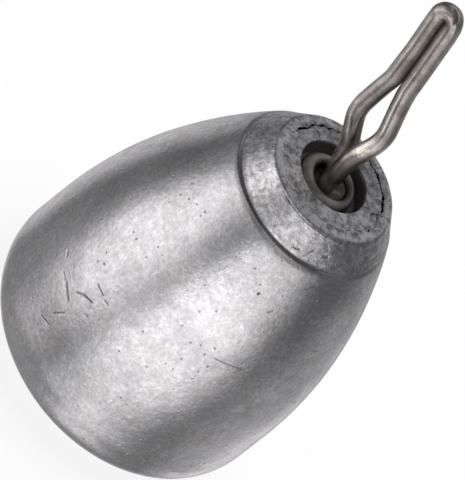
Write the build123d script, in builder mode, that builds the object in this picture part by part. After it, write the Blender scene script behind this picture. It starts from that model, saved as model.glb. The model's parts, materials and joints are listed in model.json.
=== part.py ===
# Drop-shot fishing sinker: a cast weight with a swivelling wire line clip
# Millimetres, +Z along the weight's axis towards the clip, origin at the middle of the flat base.
# The clip's flat side faces -Y, and at rest the clip leans towards -X against the lip it comes through.

import os
from math import atan2, cos, degrees, pi, radians, sin, sqrt

from build123d import *

# Weight
body_diameter = 13.1
body_length = 15.8
base_corner_radius = 2.63
widest_height = 4.33
belly_drop = 4.55
belly_draw = 0.817
collar_height = 1.35
collar_step = 0.11
collar_flare = 0.81
face_rim_width = 0.42
face_edge_chamfer = 0.10

# Wire of the line clip
wire_diameter = 0.80
leg_gap = 0.02
leg_twist = 79.0
leg_bend_radius = 1.0

# Outline of the clip above the face, in its own plane
neck_height = 1.58
neck_opening = 0.07
neck_twist = 53.0
neck_bend_radius = 1.2
eye_height = 3.31
eye_opening = 0.455
eye_stagger = 0.15
eye_bend_radius = 2.1
pinch_height = 5.90
pinch_bend_radius = 2.5
clip_height = 10.88

# Swivel barrel with its turned-in lip
barrel_wall = 0.25
lip_play = 0.05
lip_recess = 0.12
lip_touch_gap = 0.02
flange_overlap = 0.60
flange_thickness = 0.40

# Sleeve in the nose of the weight
sleeve_wall = 0.86
mouth_gap = 0.32
mouth_depth = 0.95
bearing_length = 1.05
running_clearance = 0.05
flange_side_gap = 0.10

# Bead on the ends of the legs
bead_side_gap = 0.154
bead_seat_gap = 0.03
bead_half_height = 0.38

# Legs of the clip, twisted from side by side in the eye to nearly one behind the other in the lip
wire_radius = wire_diameter / 2
leg_spread = wire_radius + leg_gap / 2
neck_spread = leg_spread + neck_opening
eye_spread = leg_spread + eye_opening
leg_x = leg_spread * cos(radians(leg_twist))
leg_y = leg_spread * sin(radians(leg_twist))
neck_x = neck_spread * cos(radians(neck_twist))
neck_y = neck_spread * sin(radians(neck_twist))

# Lip, barrel and bead, each worked out from the wire that passes through them
lip_hole_radius = leg_spread + wire_radius + lip_play
lip_crest_radius = lip_hole_radius + barrel_wall
barrel_radius = lip_crest_radius + barrel_wall
chamber_radius = barrel_radius - barrel_wall
bead_radius = chamber_radius - bead_side_gap
bead_end_radius = sqrt(bead_radius**2 - bead_half_height**2)
lip_height = body_length - lip_recess - barrel_wall
pivot_drop = sqrt((bead_radius + bead_seat_gap) ** 2 - lip_hole_radius**2)
pivot_height = lip_height - pivot_drop

# How far the clip rocks before a leg meets the lip
leg_room = lip_hole_radius - lip_touch_gap - wire_radius
leg_travel = sqrt(leg_room**2 - leg_y**2) - leg_x
lean = atan2(leg_travel, pivot_drop)

# Bore of the weight, from the sleeve down to the floor under the barrel
sleeve_bottom = body_length - mouth_depth - bearing_length
flange_top = sleeve_bottom - running_clearance
barrel_bottom = flange_top - flange_thickness
floor_height = barrel_bottom - running_clearance
flange_radius = barrel_radius + flange_overlap
flange_bore_radius = flange_radius + flange_side_gap
bearing_radius = barrel_radius + running_clearance
mouth_radius = barrel_radius + mouth_gap
sleeve_radius = mouth_radius + sleeve_wall

# Outline of the weight: face, collar, shoulder, and the belly of two arcs that leaves the widest radius straight up
body_radius = body_diameter / 2
face_radius = sleeve_radius + face_rim_width
collar_radius = face_radius + collar_flare
shoulder_radius = collar_radius + collar_step
shoulder_height = body_length - collar_height
base_radius = body_radius - base_corner_radius
belly_radius = body_radius - belly_draw
belly_height = shoulder_height - belly_drop

# Clip plane: its own Z runs up the leaning clip from the middle of the bead
clip_plane = Plane(
    origin=(0, 0, pivot_height),
    x_dir=(cos(lean), 0, sin(lean)),
    z_dir=(-sin(lean), 0, cos(lean)),
)
face_level = (body_length - pivot_height) / cos(lean)
lip_level = pivot_drop / cos(lean)
tip_level = face_level + clip_height - wire_radius - leg_spread


def leg_points(side):
    """Corners of one leg from the bead up to the hairpin; side is 1 on the right and -1 on the left."""
    return [
        (side * leg_x, -side * leg_y, -bead_half_height),
        (side * leg_x, -side * leg_y, lip_level),
        (side * neck_x, -side * neck_y, face_level + neck_height),
        (side * eye_spread, 0, face_level + eye_height - side * eye_stagger),
        (side * leg_spread, 0, face_level + pinch_height),
        (side * leg_spread, 0, tip_level),
    ]


os.makedirs("parts", exist_ok=True)

# Weight: one turned outline with its stepped blind bore
with BuildPart() as sinker_body:
    with BuildSketch(Plane.XZ):
        with BuildLine():
            Line((0, 0), (base_radius, 0))
            corner = RadiusArc((base_radius, 0), (body_radius, base_corner_radius), -base_corner_radius)
            wall = Line(corner @ 1, (body_radius, widest_height))
            belly = TangentArc(wall @ 1, (belly_radius, belly_height), tangent=wall % 1)
            taper = TangentArc(belly @ 1, (shoulder_radius, shoulder_height), tangent=belly % 1)
            Polyline(
                taper @ 1,
                (collar_radius, shoulder_height),
                (face_radius, body_length),
                (sleeve_radius, body_length),
                (sleeve_radius, sleeve_bottom),
                (flange_bore_radius, sleeve_bottom),
                (flange_bore_radius, floor_height),
                (0, floor_height),
                (0, 0),
            )
        make_face()
    revolve(axis=Axis.Z)
    face_edge = sinker_body.edges().group_by(Axis.Z)[-1].sort_by(SortBy.RADIUS)[-1]
    chamfer(face_edge, length=face_edge_chamfer)
sinker_body.part.label = "sinker_body"
export_step(sinker_body.part, "parts/sinker_body.step")

# Sleeve: bearing bore below, wider mouth around the lip
with BuildPart() as bore_sleeve:
    with BuildSketch(Plane.XZ):
        with BuildLine():
            Polyline(
                (bearing_radius, sleeve_bottom),
                (sleeve_radius, sleeve_bottom),
                (sleeve_radius, body_length),
                (mouth_radius, body_length),
                (mouth_radius, body_length - mouth_depth),
                (bearing_radius, body_length - mouth_depth),
                close=True,
            )
        make_face()
    revolve(axis=Axis.Z)
bore_sleeve.part.label = "bore_sleeve"
export_step(bore_sleeve.part, "parts/bore_sleeve.step")

# Barrel: thin wall, flange at the foot and a half-round lip turned in over the bead at the top
with BuildPart() as swivel_barrel:
    with BuildSketch(Plane.XZ):
        with BuildLine():
            lip = ThreePointArc(
                (barrel_radius, lip_height),
                (lip_crest_radius, lip_height + barrel_wall),
                (lip_hole_radius, lip_height),
            )
            Polyline(
                lip @ 1,
                (chamber_radius, lip_height),
                (chamber_radius, barrel_bottom),
                (flange_radius, barrel_bottom),
                (flange_radius, flange_top),
                (barrel_radius, flange_top),
                lip @ 0,
            )
        make_face()
    revolve(axis=Axis.Z)
swivel_barrel.part.label = "swivel_barrel"
export_step(swivel_barrel.part, "parts/swivel_barrel.step")

# Line clip: up one leg, round the hairpin and down the other leg
bend_radii = [leg_bend_radius, neck_bend_radius, eye_bend_radius, pinch_bend_radius]
with BuildPart() as line_clip:
    with BuildLine(clip_plane) as clip_path:
        FilletPolyline(*leg_points(1), radius=bend_radii)
        ThreePointArc(
            (leg_spread, 0, tip_level),
            (0, 0, tip_level + leg_spread),
            (-leg_spread, 0, tip_level),
        )
        FilletPolyline(*leg_points(-1), radius=bend_radii)
    wire_path = clip_path.wires()[0]
    with BuildSketch(Plane(origin=wire_path @ 0, z_dir=wire_path % 0)):
        Circle(wire_radius)
    sweep(path=wire_path)
line_clip.part.label = "line_clip"
export_step(line_clip.part, "parts/line_clip.step")

# Bead: a ball cut flat above and below, pinched on both legs through one slot
with BuildPart() as stop_bead:
    with BuildSketch(Plane(clip_plane.origin, x_dir=clip_plane.x_dir, z_dir=-clip_plane.y_dir)):
        with BuildLine():
            ThreePointArc(
                (bead_end_radius, -bead_half_height),
                (bead_radius, 0),
                (bead_end_radius, bead_half_height),
            )
            Polyline(
                (bead_end_radius, bead_half_height),
                (0, bead_half_height),
                (0, -bead_half_height),
                (bead_end_radius, -bead_half_height),
            )
        make_face()
    revolve(axis=Axis(clip_plane.origin, clip_plane.z_dir))
    with BuildSketch(clip_plane.offset(-bead_half_height)):
        SlotCenterToCenter(2 * leg_spread, wire_diameter, rotation=-leg_twist)
    extrude(amount=2 * bead_half_height, mode=Mode.SUBTRACT)
stop_bead.part.label = "stop_bead"
export_step(stop_bead.part, "parts/stop_bead.step")

wire_volume = wire_path.length * pi * wire_radius**2
print(f"lean {degrees(lean):.3f} degrees, pivot height {pivot_height:.4f}, belly radii {belly.radius:.2f} and {taper.radius:.2f}")
print(f"wire {wire_path.length:.2f} long, volume {line_clip.part.volume:.4f} against {wire_volume:.4f}")
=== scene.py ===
"""Drop-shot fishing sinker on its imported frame: cast weight, nose sleeve, swivel barrel, line clip, bead and stage."""

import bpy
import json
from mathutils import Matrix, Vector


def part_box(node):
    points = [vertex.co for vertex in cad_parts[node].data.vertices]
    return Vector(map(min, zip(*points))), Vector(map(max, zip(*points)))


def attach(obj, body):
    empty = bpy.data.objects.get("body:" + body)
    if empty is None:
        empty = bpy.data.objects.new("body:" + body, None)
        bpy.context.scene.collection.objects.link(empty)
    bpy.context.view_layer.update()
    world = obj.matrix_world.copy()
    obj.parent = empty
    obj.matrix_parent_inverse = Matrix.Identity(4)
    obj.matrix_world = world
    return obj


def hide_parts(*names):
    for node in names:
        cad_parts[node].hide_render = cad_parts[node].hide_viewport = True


bl_info = {
    "name": "Fishing sinker",
    "version": (1, 0, 0),
    "blender": (4, 5, 0),
    "location": "3D View > Sidebar > Sinker",
    "description": "Dresses the packed fishing sinker with worn cast metal and a bent wire clip",
    "category": "Object",
}

import json
from math import acos, asin, atan2, ceil, cos, pi, radians, sin, tan

import bmesh
import bpy
import numpy as np
from bpy.props import FloatProperty, FloatVectorProperty, PointerProperty
from bpy.types import Operator, Panel, PropertyGroup
from mathutils import Matrix, Vector

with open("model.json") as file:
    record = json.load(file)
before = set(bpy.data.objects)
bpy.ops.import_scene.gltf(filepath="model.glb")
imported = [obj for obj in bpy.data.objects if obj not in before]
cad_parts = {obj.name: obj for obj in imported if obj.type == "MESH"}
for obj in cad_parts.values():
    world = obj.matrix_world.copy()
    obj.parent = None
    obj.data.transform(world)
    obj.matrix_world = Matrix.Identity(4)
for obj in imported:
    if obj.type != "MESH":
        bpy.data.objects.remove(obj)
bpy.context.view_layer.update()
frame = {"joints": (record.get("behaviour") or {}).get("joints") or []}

# Sizes that the frame gives, in metres
MM = 0.001
weight_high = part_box("sinker_body")[1]
sleeve_low, sleeve_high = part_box("bore_sleeve")
barrel_low, barrel_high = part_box("swivel_barrel")
joints = {joint["name"]: joint for joint in frame["joints"]}
rock_pivot = Vector(joints["clip_rock"]["pos_m"])


def length(label, words, default):
    """A length property in metres with a default given in metres."""
    return FloatProperty(name=label, description=words, default=default, subtype="DISTANCE", precision=6)


def colour(label, words, default):
    """A colour property."""
    return FloatVectorProperty(
        name=label, description=words, default=default, subtype="COLOR", size=3, min=0, max=1
    )


def angle(label, words, default):
    """An angle property with a default given in degrees."""
    return FloatProperty(name=label, description=words, default=radians(default), subtype="ANGLE")


class WeightSettings(PropertyGroup):
    """Sizes and finish of the cast weight and the sleeve in its nose."""

    radius: length("Radius", "Widest radius of the weight", weight_high.x)
    height: length("Height", "Height of the flat nose above the base", weight_high.z)
    base_corner: length("Base corner", "Radius between the base and the flank", 2.63 * MM)
    widest: length("Widest height", "Height at which the belly starts to draw in", 4.33 * MM)
    belly_drop: length("Belly drop", "How far below the shoulder the two arcs of the belly meet", 4.55 * MM)
    belly_draw: length("Belly draw", "How far the belly has drawn in where its arcs meet", 0.817 * MM)
    collar_height: length("Collar height", "Height of the tapered collar under the nose", 1.35 * MM)
    collar_radius: length("Collar radius", "Radius at the foot of the collar", 3.77 * MM)
    shoulder_radius: length("Shoulder radius", "Radius of the belly where it meets the collar", 3.88 * MM)
    nose_radius: length("Nose radius", "Radius of the flat nose", 2.96 * MM)
    mouth_radius: length("Mouth radius", "Radius of the sleeve's mouth around the lip", 1.68 * MM)
    mouth_depth: length("Mouth depth", "Depth of the sleeve's mouth", 0.95 * MM)
    bearing_radius: length("Bearing radius", "Radius of the bore in which the barrel turns", 1.41 * MM)
    seam_radius: length("Seam radius", "Radius at which the ragged seam shows on the nose", 2.45 * MM)
    seam_gap: length("Seam gap", "Widest opening of the ragged seam around the sleeve", 0.155 * MM)
    light_metal: colour("Light metal", "Rubbed bright metal", (0.665, 0.655, 0.665))
    dark_metal: colour("Dark metal", "Oxidised metal in patches", (0.49, 0.485, 0.495))
    nose_metal: colour("Nose metal", "Dull cut metal of the flat nose", (0.605, 0.60, 0.615))
    # Shade and grime: painted shade in the seam and its breaks, and the dark colour of the nicks and the crack
    shade_and_grime: colour("Grime", "Dirt in the seam, the groove and the nicks", (0.035, 0.033, 0.035))
    film: colour("Film", "Brown film inside the mouth", (0.105, 0.085, 0.085))


class SwivelSettings(PropertyGroup):
    """Sizes and finish of the swivel barrel and the bead."""

    barrel_radius: length("Barrel radius", "Outer radius of the barrel", 1.36 * MM)
    lip_roll: length("Lip roll", "Radius of the half-round lip's section", 0.25 * MM)
    lip_height: length("Lip height", "Height of the underside of the half-round lip", 15.43 * MM)
    flange: length("Flange thickness", "Thickness of the flange at the foot", 0.40 * MM)
    bead_radius: length("Bead radius", "Radius of the bead under the lip", 0.956 * MM)
    bead_half_height: length("Bead half height", "Half the height of the bead", 0.38 * MM)
    plating: colour("Plating", "Dull plating of the barrel", (0.27, 0.25, 0.25))
    brass: colour("Brass", "Dull brass of the bead", (0.062, 0.054, 0.04))


class ClipSettings(PropertyGroup):
    """Sizes and finish of the bent wire."""

    wire: length("Wire diameter", "Diameter of the wire", 0.80 * MM)
    leg_gap: length("Leg gap", "Gap between the pinched legs", 0.02 * MM)
    lean: angle("Lean", "How far the clip leans over at rest", 11.667)
    leg_twist: angle("Leg twist", "Turn of the legs inside the lip", 79)
    neck_twist: angle("Neck twist", "Turn of the legs at the neck", 53)
    neck_height: length("Neck height", "Height of the neck above the nose", 1.58 * MM)
    neck_opening: length("Neck opening", "Extra spread of each leg at the neck", 0.07 * MM)
    eye_height: length("Eye height", "Height of the widest part of the eye", 3.31 * MM)
    eye_opening: length("Eye opening", "Extra spread of each leg at the eye", 0.455 * MM)
    eye_stagger: length("Eye stagger", "How much higher one leg's bend is than the other's", 0.15 * MM)
    pinch_height: length("Pinch height", "Height at which the legs meet", 5.90 * MM)
    height: length("Height", "Height of the hairpin above the nose", 10.88 * MM)
    metal: colour("Metal", "Satin wire", (0.50, 0.462, 0.435))
    stain: colour("Stain", "Brown stain left by heat and handling", (0.27, 0.235, 0.21))
    # Crevice shade: painted shade between the legs, in the press mark and low on the front leg
    crevice_shade: colour("Crevice", "Dirt between the legs and in the press mark", (0.065, 0.052, 0.047))
    worn: colour("Worn", "Yellowish wear where the line has rubbed the neck", (0.86, 0.80, 0.66))


class StageSettings(PropertyGroup):
    """Camera, floor and light."""

    elevation: angle("Elevation", "Camera height above the horizon", 40)
    roll: angle("Roll", "Direction in which the weight's axis rises in the picture", 38.155)
    lens: FloatProperty(
        name="Lens", description="Focal length in millimetres", default=1600, subtype="DISTANCE_CAMERA"
    )
    picture_height: length("Picture height", "What the height of the picture spans at the sinker", 19.635 * MM)
    floor: colour("Floor", "Plain floor", (0.9, 0.9, 0.9))
    shadow: FloatProperty(
        name="Shadow", description="How much of the floor's own shade shows", default=0.13, subtype="FACTOR"
    )


# Node building


def feed(tree, socket, value):
    """Links a socket to another one, or sets its value."""
    if isinstance(value, bpy.types.NodeSocket):
        tree.links.new(value, socket)
    else:
        socket.default_value = value


def add_node(tree, kind, inputs=None, **settings):
    """Adds a node, with its settings and its inputs by name or number."""
    node = tree.nodes.new(kind)
    for key, value in settings.items():
        setattr(node, key, value)
    for key, value in (inputs or {}).items():
        feed(tree, node.inputs[key], value)
    return node


def calc(tree, operation, *values):
    """One step of arithmetic."""
    return add_node(tree, "ShaderNodeMath", dict(enumerate(values)), operation=operation).outputs[0]


def times(tree, first, second):
    """Product of two numbers."""
    return calc(tree, "MULTIPLY", first, second)


def times_plus(tree, value, factor, more):
    """A number times a factor, and more added to it."""
    return calc(tree, "MULTIPLY_ADD", value, factor, more)


def vector_calc(tree, operation, *values):
    """One step of vector arithmetic; a dot product or a length gives a number."""
    node = add_node(tree, "ShaderNodeVectorMath", dict(enumerate(values)), operation=operation)
    return node.outputs["Value" if operation in ("DOT_PRODUCT", "LENGTH") else "Vector"]


def scaled(tree, vector, factor):
    """A vector times a number."""
    return add_node(tree, "ShaderNodeVectorMath", {0: vector, "Scale": factor}, operation="SCALE").outputs[0]


def remap(tree, value, low, high, to_low, to_high, kind="SMOOTHSTEP"):
    """Maps a range onto another, clamped."""
    inputs = {"Value": value, "From Min": low, "From Max": high, "To Min": to_low, "To Max": to_high}
    return add_node(tree, "ShaderNodeMapRange", inputs, interpolation_type=kind).outputs[0]


def noise(tree, vector, scale, detail=3.0, rough=0.5, distortion=0.0):
    """Noise from about 0.25 to 0.75."""
    inputs = {"Vector": vector, "Scale": scale, "Detail": detail, "Roughness": rough, "Distortion": distortion}
    return add_node(tree, "ShaderNodeTexNoise", inputs).outputs[0]


def mix_colours(tree, factor, first, second):
    """Blends two colours."""
    node = add_node(tree, "ShaderNodeMix", data_type="RGBA")
    for index, value in ((0, factor), (6, first), (7, second)):
        feed(tree, node.inputs[index], value)
    return node.outputs[2]


def bumps(tree, *layers):
    """Bumps on top of each other, each given as its pattern and its real height in millimetres."""
    inputs = {}
    for pattern, height in layers:
        inputs |= {"Height": pattern, "Distance": height * MM, "Strength": 1.0}
        inputs["Normal"] = add_node(tree, "ShaderNodeBump", inputs).outputs[0]
    return inputs["Normal"]


def solid(rgb):
    """A colour property as four numbers."""
    return (*rgb, 1.0)


def empty_tree(owner):
    """Turns on the nodes of a material or a world and gives its emptied tree."""
    owner.use_nodes = True
    owner.node_tree.nodes.clear()
    return owner.node_tree


def new_material(name):
    """An empty metal material: its tree, its shader and object coordinates in millimetres."""
    material = bpy.data.materials.new(name)
    tree = empty_tree(material)
    shader = add_node(tree, "ShaderNodeBsdfPrincipled")
    output = add_node(tree, "ShaderNodeOutputMaterial", {"Surface": shader.outputs[0]})
    output.is_active_output = True
    place = scaled(tree, add_node(tree, "ShaderNodeTexCoord").outputs["Object"], 1 / MM)
    return material, tree, shader, place


def give_looks(tree, shader, metal, rough, normal, metallic):
    """Links or sets a shader's colour, roughness, normal and share of metal."""
    looks = {"Base Color": metal, "Roughness": rough, "Normal": normal, "Metallic": metallic}
    for name, value in looks.items():
        feed(tree, shader.inputs[name], value)


def attribute(tree, name, output="Fac"):
    """Reads an attribute that the mesh code stored."""
    return add_node(tree, "ShaderNodeAttribute", attribute_name=name).outputs[output]


def turned_place(tree, place):
    """Turn from the front in radians and height in millimetres of a place on a turned piece."""
    x, y, level = add_node(tree, "ShaderNodeSeparateXYZ", {0: place}).outputs
    return calc(tree, "ARCTAN2", x, times(tree, y, -1.0)), level


def strokes(tree, place, lines):
    """Cover of short marks, each given as both ends, its half width and its strength."""
    cover = None
    for start, end, width, strength in lines:
        start, run = Vector((*start, 0)), Vector((*end, 0)) - Vector((*start, 0))
        away = vector_calc(tree, "SUBTRACT", place, start)
        share = vector_calc(tree, "DOT_PRODUCT", away, run / run.length_squared)
        share = add_node(tree, "ShaderNodeClamp", {0: share}).outputs[0]
        apart = vector_calc(tree, "LENGTH", vector_calc(tree, "SUBTRACT", away, scaled(tree, run, share)))
        mark = remap(tree, apart, width, width * 0.25, 0, strength)
        cover = mark if cover is None else calc(tree, "MAXIMUM", cover, mark)
    return cover


def band(tree, value, middle, outer, inner):
    """1 near a value and 0 away from it."""
    apart = calc(tree, "ABSOLUTE", calc(tree, "SUBTRACT", value, middle))
    return remap(tree, apart, outer, inner, 0, 1)


def window(tree, value, start, full, last, end):
    """0 before start, 1 from full to last and 0 after end."""
    return times(tree, remap(tree, value, start, full, 0, 1), remap(tree, value, end, last, 0, 1))


def dots(tree, place, scale, size, share):
    """Small round specks scattered in space; share is how many of the cells hold one."""
    cells = add_node(tree, "ShaderNodeTexVoronoi", {"Vector": place, "Scale": scale})
    chance = add_node(tree, "ShaderNodeSeparateColor", {0: cells.outputs["Color"]}).outputs[0]
    held = calc(tree, "LESS_THAN", chance, share)
    return times(tree, remap(tree, cells.outputs["Distance"], size, size * 0.4, 0, 1), held)


def weighed(tree, factor, *parts):
    """A factor times 1 less each of the parts given as (cover, strength)."""
    for cover, strength in parts:
        factor = times(tree, factor, times_plus(tree, cover, -strength, 1.0))
    return factor


def settings(name):
    """A property group of this scene."""
    return getattr(bpy.context.scene, name)


# Materials


# Marks on the flank and the collar: both ends as (turn from the front in degrees, height), half width and strength
FLANK_RADIUS = 6.3
DARK_MARKS = (
    ((-36.1, 5.79), (-31.5, 5.78), 0.035, 0.55),
    ((-31.5, 5.78), (-25.6, 5.58), 0.055, 0.95),
    ((-26.2, 6.12), (-23.9, 6.41), 0.050, 0.85),
    ((-23.9, 6.41), (-19.5, 6.64), 0.050, 0.95),
    ((-23.9, 7.26), (-19.1, 7.29), 0.040, 0.70),
    ((-19.1, 7.29), (-19.8, 7.11), 0.040, 0.50),
    ((-25.2, 4.58), (-22.7, 5.14), 0.050, 0.85),
    ((-27.5, 3.88), (-22.7, 4.08), 0.055, 0.85),
    ((-17.5, 7.24), (-15.0, 7.29), 0.040, 0.60),
    ((-17.9, 6.07), (-16.0, 6.11), 0.040, 0.50),
    ((-29.8, 7.87), (-29.4, 7.89), 0.065, 0.70),
    ((-36.1, 6.37), (-35.7, 6.37), 0.060, 0.50),
    ((-42.9, 6.20), (-41.5, 6.15), 0.090, 0.50),
    ((21.6, 12.54), (22.1, 12.56), 0.075, 1.00),
    ((41.4, 13.66), (45.6, 13.95), 0.060, 0.60),
    ((31.8, 12.14), (33.5, 12.28), 0.050, 0.50),
    ((27.7, 9.26), (41.5, 9.42), 0.030, 0.40),
    ((18.7, 14.68), (22.9, 14.74), 0.050, 0.60),
    ((39.4, 14.95), (43.1, 15.00), 0.080, 0.80),
    ((29.7, 14.86), (31.4, 14.98), 0.070, 0.60),
)
LIGHT_MARKS = (
    ((-34.8, 5.71), (-23.2, 5.31), 0.050, 0.90),
    ((-23.7, 6.15), (-20.3, 6.42), 0.120, 0.50),
    ((-24.3, 4.53), (-21.8, 5.09), 0.050, 0.80),
    ((-25.5, 3.79), (-22.4, 3.92), 0.050, 0.80),
    ((-18.1, 7.11), (-15.5, 7.21), 0.050, 0.70),
    ((-25.2, 8.12), (-24.6, 8.14), 0.090, 0.70),
    ((-27.5, 7.40), (-26.9, 7.42), 0.090, 0.70),
    ((-27.3, 4.40), (-26.7, 4.44), 0.070, 0.60),
    ((-32.5, 4.97), (-31.9, 4.97), 0.070, 0.60),
)

# Nicks and the short crack on the flat nose: both ends in millimetres across it, half width and strength
NOSE_STROKES = (
    ((2.04, 0.40), (2.24, 0.72), 0.040, 0.95),
    ((2.24, 0.72), (2.44, 0.90), 0.035, 0.85),
    ((2.24, 0.70), (2.36, 0.50), 0.035, 0.95),
    ((2.36, 0.50), (2.44, 0.36), 0.030, 0.8),
    ((2.52, -0.34), (2.54, -0.40), 0.060, 0.95),
    ((1.63, -1.94), (1.82, -1.82), 0.035, 0.8),
    ((1.82, -1.82), (1.90, -1.60), 0.030, 0.7),
    ((1.94, -1.46), (2.02, -1.34), 0.035, 0.8),
    ((-1.56, 0.79), (-1.95, 1.00), 0.028, 0.9),
    ((2.30, -0.86), (2.36, -0.78), 0.040, 0.6),
    ((-2.30, -1.30), (-2.16, -1.36), 0.035, 0.5),
    ((-1.20, -2.34), (-1.04, -2.38), 0.030, 0.5),
)

# Short breaks across the seam: turn in degrees, and the radii at which each starts and ends
SEAM_TEETH = (
    (36, 2.32, 2.46), (47, 2.44, 2.58), (58, 2.30, 2.44), (69, 2.45, 2.56), (78, 2.33, 2.47),
    (126, 2.44, 2.54), (137, 2.33, 2.45), (146, 2.45, 2.57), (157, 2.34, 2.46), (168, 2.43, 2.56), (177, 2.36, 2.48),
)


# Noise in the cast metal: scale for millimetres, detail, roughness and distortion
CAST_NOISE = {
    "patches": (0.45, 4, 0.55, 0.4),
    "clouds": (1.9, 5, 0.6),
    "blotches": (3.4, 4, 0.65, 0.5),
    "mottle": (6.0, 3, 0.6),
    "grain": (13.0, 3, 0.65),
    "wobble": (5.0, 2),
    "warmth": (0.8, 2),
}
WARM_METAL = (0.60, 0.57, 0.53, 1)

# Specks: cells in a millimetre, their size in cells and the share of cells that hold one
PITS, FLECKS, WIRE_SPECKS = (2.6, 0.16, 0.40), (2.9, 0.30, 0.45), (4.2, 0.2, 0.5)

# Turns from the front, in radians, between which the collar's painted groove shade, the base's painted crease shade
# and the rim's painted dark line show
GROOVE_TURNS = (-1.35, -0.75, 0.5, 1.10)
CREASE_TURNS = (-0.8, -0.5, 0.6, 0.95)
RIM_TURNS = (-0.5, -0.1, 0.55, 0.85)

# Half width and strength of the breaks across the seam
TOOTH_WIDTH, TOOTH_STRENGTH = 0.03, 0.85


def on_flank(marks):
    """Marks given by turn and height, laid out flat in millimetres."""
    return [
        (*((radians(turn) * FLANK_RADIUS, level) for turn, level in ends), width, strength)
        for *ends, width, strength in marks
    ]


def on_seam(teeth):
    """Breaks across the seam as strokes on the flat nose."""
    return [
        (*((r * cos(radians(turn)), r * sin(radians(turn))) for r in radii), TOOTH_WIDTH, TOOTH_STRENGTH)
        for turn, *radii in teeth
    ]


def cast_metal():
    """Grey cast metal: oxidised patches, grain, specks and scratches, a rough collar, a matte nose with painted light,
    painted shade in the seam, the collar's groove, the base's crease and under the rim, and dark nicks.
    """
    found = bpy.data.materials.get("cast metal")
    if found:
        return found
    weight = settings("sinker_weight")
    height = weight.height / MM
    foot = height - weight.collar_height / MM
    material, tree, shader, place = new_material("cast metal")
    turn, level = turned_place(tree, place)
    patches, clouds, blotches, mottle, grain, wobble, warmth = (
        noise(tree, place, *kind) for kind in CAST_NOISE.values()
    )
    matte, painted_light, film = (attribute(tree, name) for name in ("matte", "painted_light", "film"))

    # Where the collar is rough, painted shade in the groove at its foot, a painted dark crease round the base and a
    # painted dark line under the nose's rim
    collar = calc(tree, "MAXIMUM", matte, remap(tree, level, foot - 0.05, foot + 0.1, 0, 1))
    dip = times_plus(tree, band(tree, turn, 0.08, 0.70, 0.05), -0.13, foot - 0.07)
    ragged = times_plus(tree, clouds, 0.14, dip)
    # Painted shade: a dark groove at the collar's foot, a dark crease round the base and a dark line under the rim
    groove = times(tree, band(tree, level, ragged, 0.25, 0.05), window(tree, turn, *GROOVE_TURNS))
    crease = band(tree, level, times_plus(tree, clouds, 0.12, 0.64), 0.07, 0.02)
    crease = times(tree, crease, window(tree, turn, *CREASE_TURNS))
    rim_line = band(tree, level, times_plus(tree, clouds, 0.08, height - 0.19), 0.05, 0.015)
    rim_line = times(tree, rim_line, window(tree, turn, *RIM_TURNS))

    # Marks
    across = times(tree, turn, FLANK_RADIUS)
    flank_place = add_node(tree, "ShaderNodeCombineXYZ", {0: across, 1: level}).outputs[0]
    scratches, rubs = (strokes(tree, flank_place, on_flank(marks)) for marks in (DARK_MARKS, LIGHT_MARKS))
    shaken = scaled(tree, (0.12, -0.08, 0), calc(tree, "SUBTRACT", wobble, 0.5))
    shaken = vector_calc(tree, "ADD", vector_calc(tree, "MULTIPLY", place, (1, 1, 0)), shaken)
    nicks = times(tree, strokes(tree, shaken, (*NOSE_STROKES, *on_seam(SEAM_TEETH))), matte)
    pits, flecks = dots(tree, place, *PITS), dots(tree, place, *FLECKS)

    # Colour
    tarnish = calc(tree, "ADD", times(tree, patches, 0.55), times(tree, clouds, 0.45))
    metal = mix_colours(
        tree, remap(tree, tarnish, 0.36, 0.66, 0, 1), solid(weight.light_metal), solid(weight.dark_metal)
    )
    metal = mix_colours(tree, remap(tree, warmth, 0.42, 0.66, 0, 0.3), metal, WARM_METAL)
    metal = mix_colours(tree, times(tree, matte, 0.8), metal, solid(weight.nose_metal))
    speckle = calc(tree, "ADD", times(tree, mottle, 0.65), times(tree, grain, 0.35))
    # Painted light from the mesh: lighter on the nose's front and rim, then the speckle
    shade = times(tree, painted_light, remap(tree, speckle, 0.36, 0.64, 0.80, 1.14, "LINEAR"))
    smudge = calc(tree, "SUBTRACT", remap(tree, blotches, 0.36, 0.64, 0.66, 1.30, "LINEAR"), 1.0)
    rough_part = times_plus(tree, matte, 0.5, collar)
    shade = times(tree, shade, times_plus(tree, rough_part, smudge, 1.0))
    shade = weighed(tree, shade, (collar, -0.10))
    shade = weighed(tree, shade, (pits, 0.35), (scratches, 0.65), (groove, 0.46), (crease, 0.45), (rim_line, 0.55))
    shade = weighed(tree, shade, (rubs, -0.30), (flecks, -0.16))
    metal = mix_colours(tree, film, scaled(tree, metal, shade), solid(weight.film))
    # Painted shade in the seam, together with the dark nicks and the crack on the nose
    shade_and_dirt = calc(tree, "MAXIMUM", attribute(tree, "shade_and_grime"), nicks)
    metal = mix_colours(tree, shade_and_dirt, metal, solid(weight.shade_and_grime))

    rough = remap(tree, clouds, 0.3, 0.7, 0.22, 0.31, "LINEAR")
    for cover, more in ((matte, 0.22), (shade_and_dirt, 0.25)):
        rough = times_plus(tree, cover, more, rough)

    lumps = times(tree, blotches, times_plus(tree, collar, 0.62, 0.38))
    dents = calc(tree, "MAXIMUM", calc(tree, "MAXIMUM", scratches, nicks), times(tree, pits, 0.5))
    dents = times_plus(tree, groove, 0.6, dents)
    dents = times(tree, dents, -1.0)
    normal = bumps(tree, (clouds, 0.010), (mottle, 0.006), (grain, 0.003), (lumps, 0.022), (dents, 0.025))
    give_looks(tree, shader, metal, rough, normal, times_plus(tree, film, -0.7, 1.0))
    return material


# Colours of the barrel's dark and rubbed plating and of its painted shade on one side, and of the bead's dark brass
# and its painted highlight
DARK_PLATING, RUBBED_PLATING, SIDE_SHADE_PLATING = (0.17, 0.15, 0.145, 1), (0.37, 0.345, 0.34, 1), (0.10, 0.085, 0.085, 1)
DARK_BRASS, HIGHLIGHT_BRASS = (0.045, 0.038, 0.03, 1), (0.20, 0.185, 0.15, 1)


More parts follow.
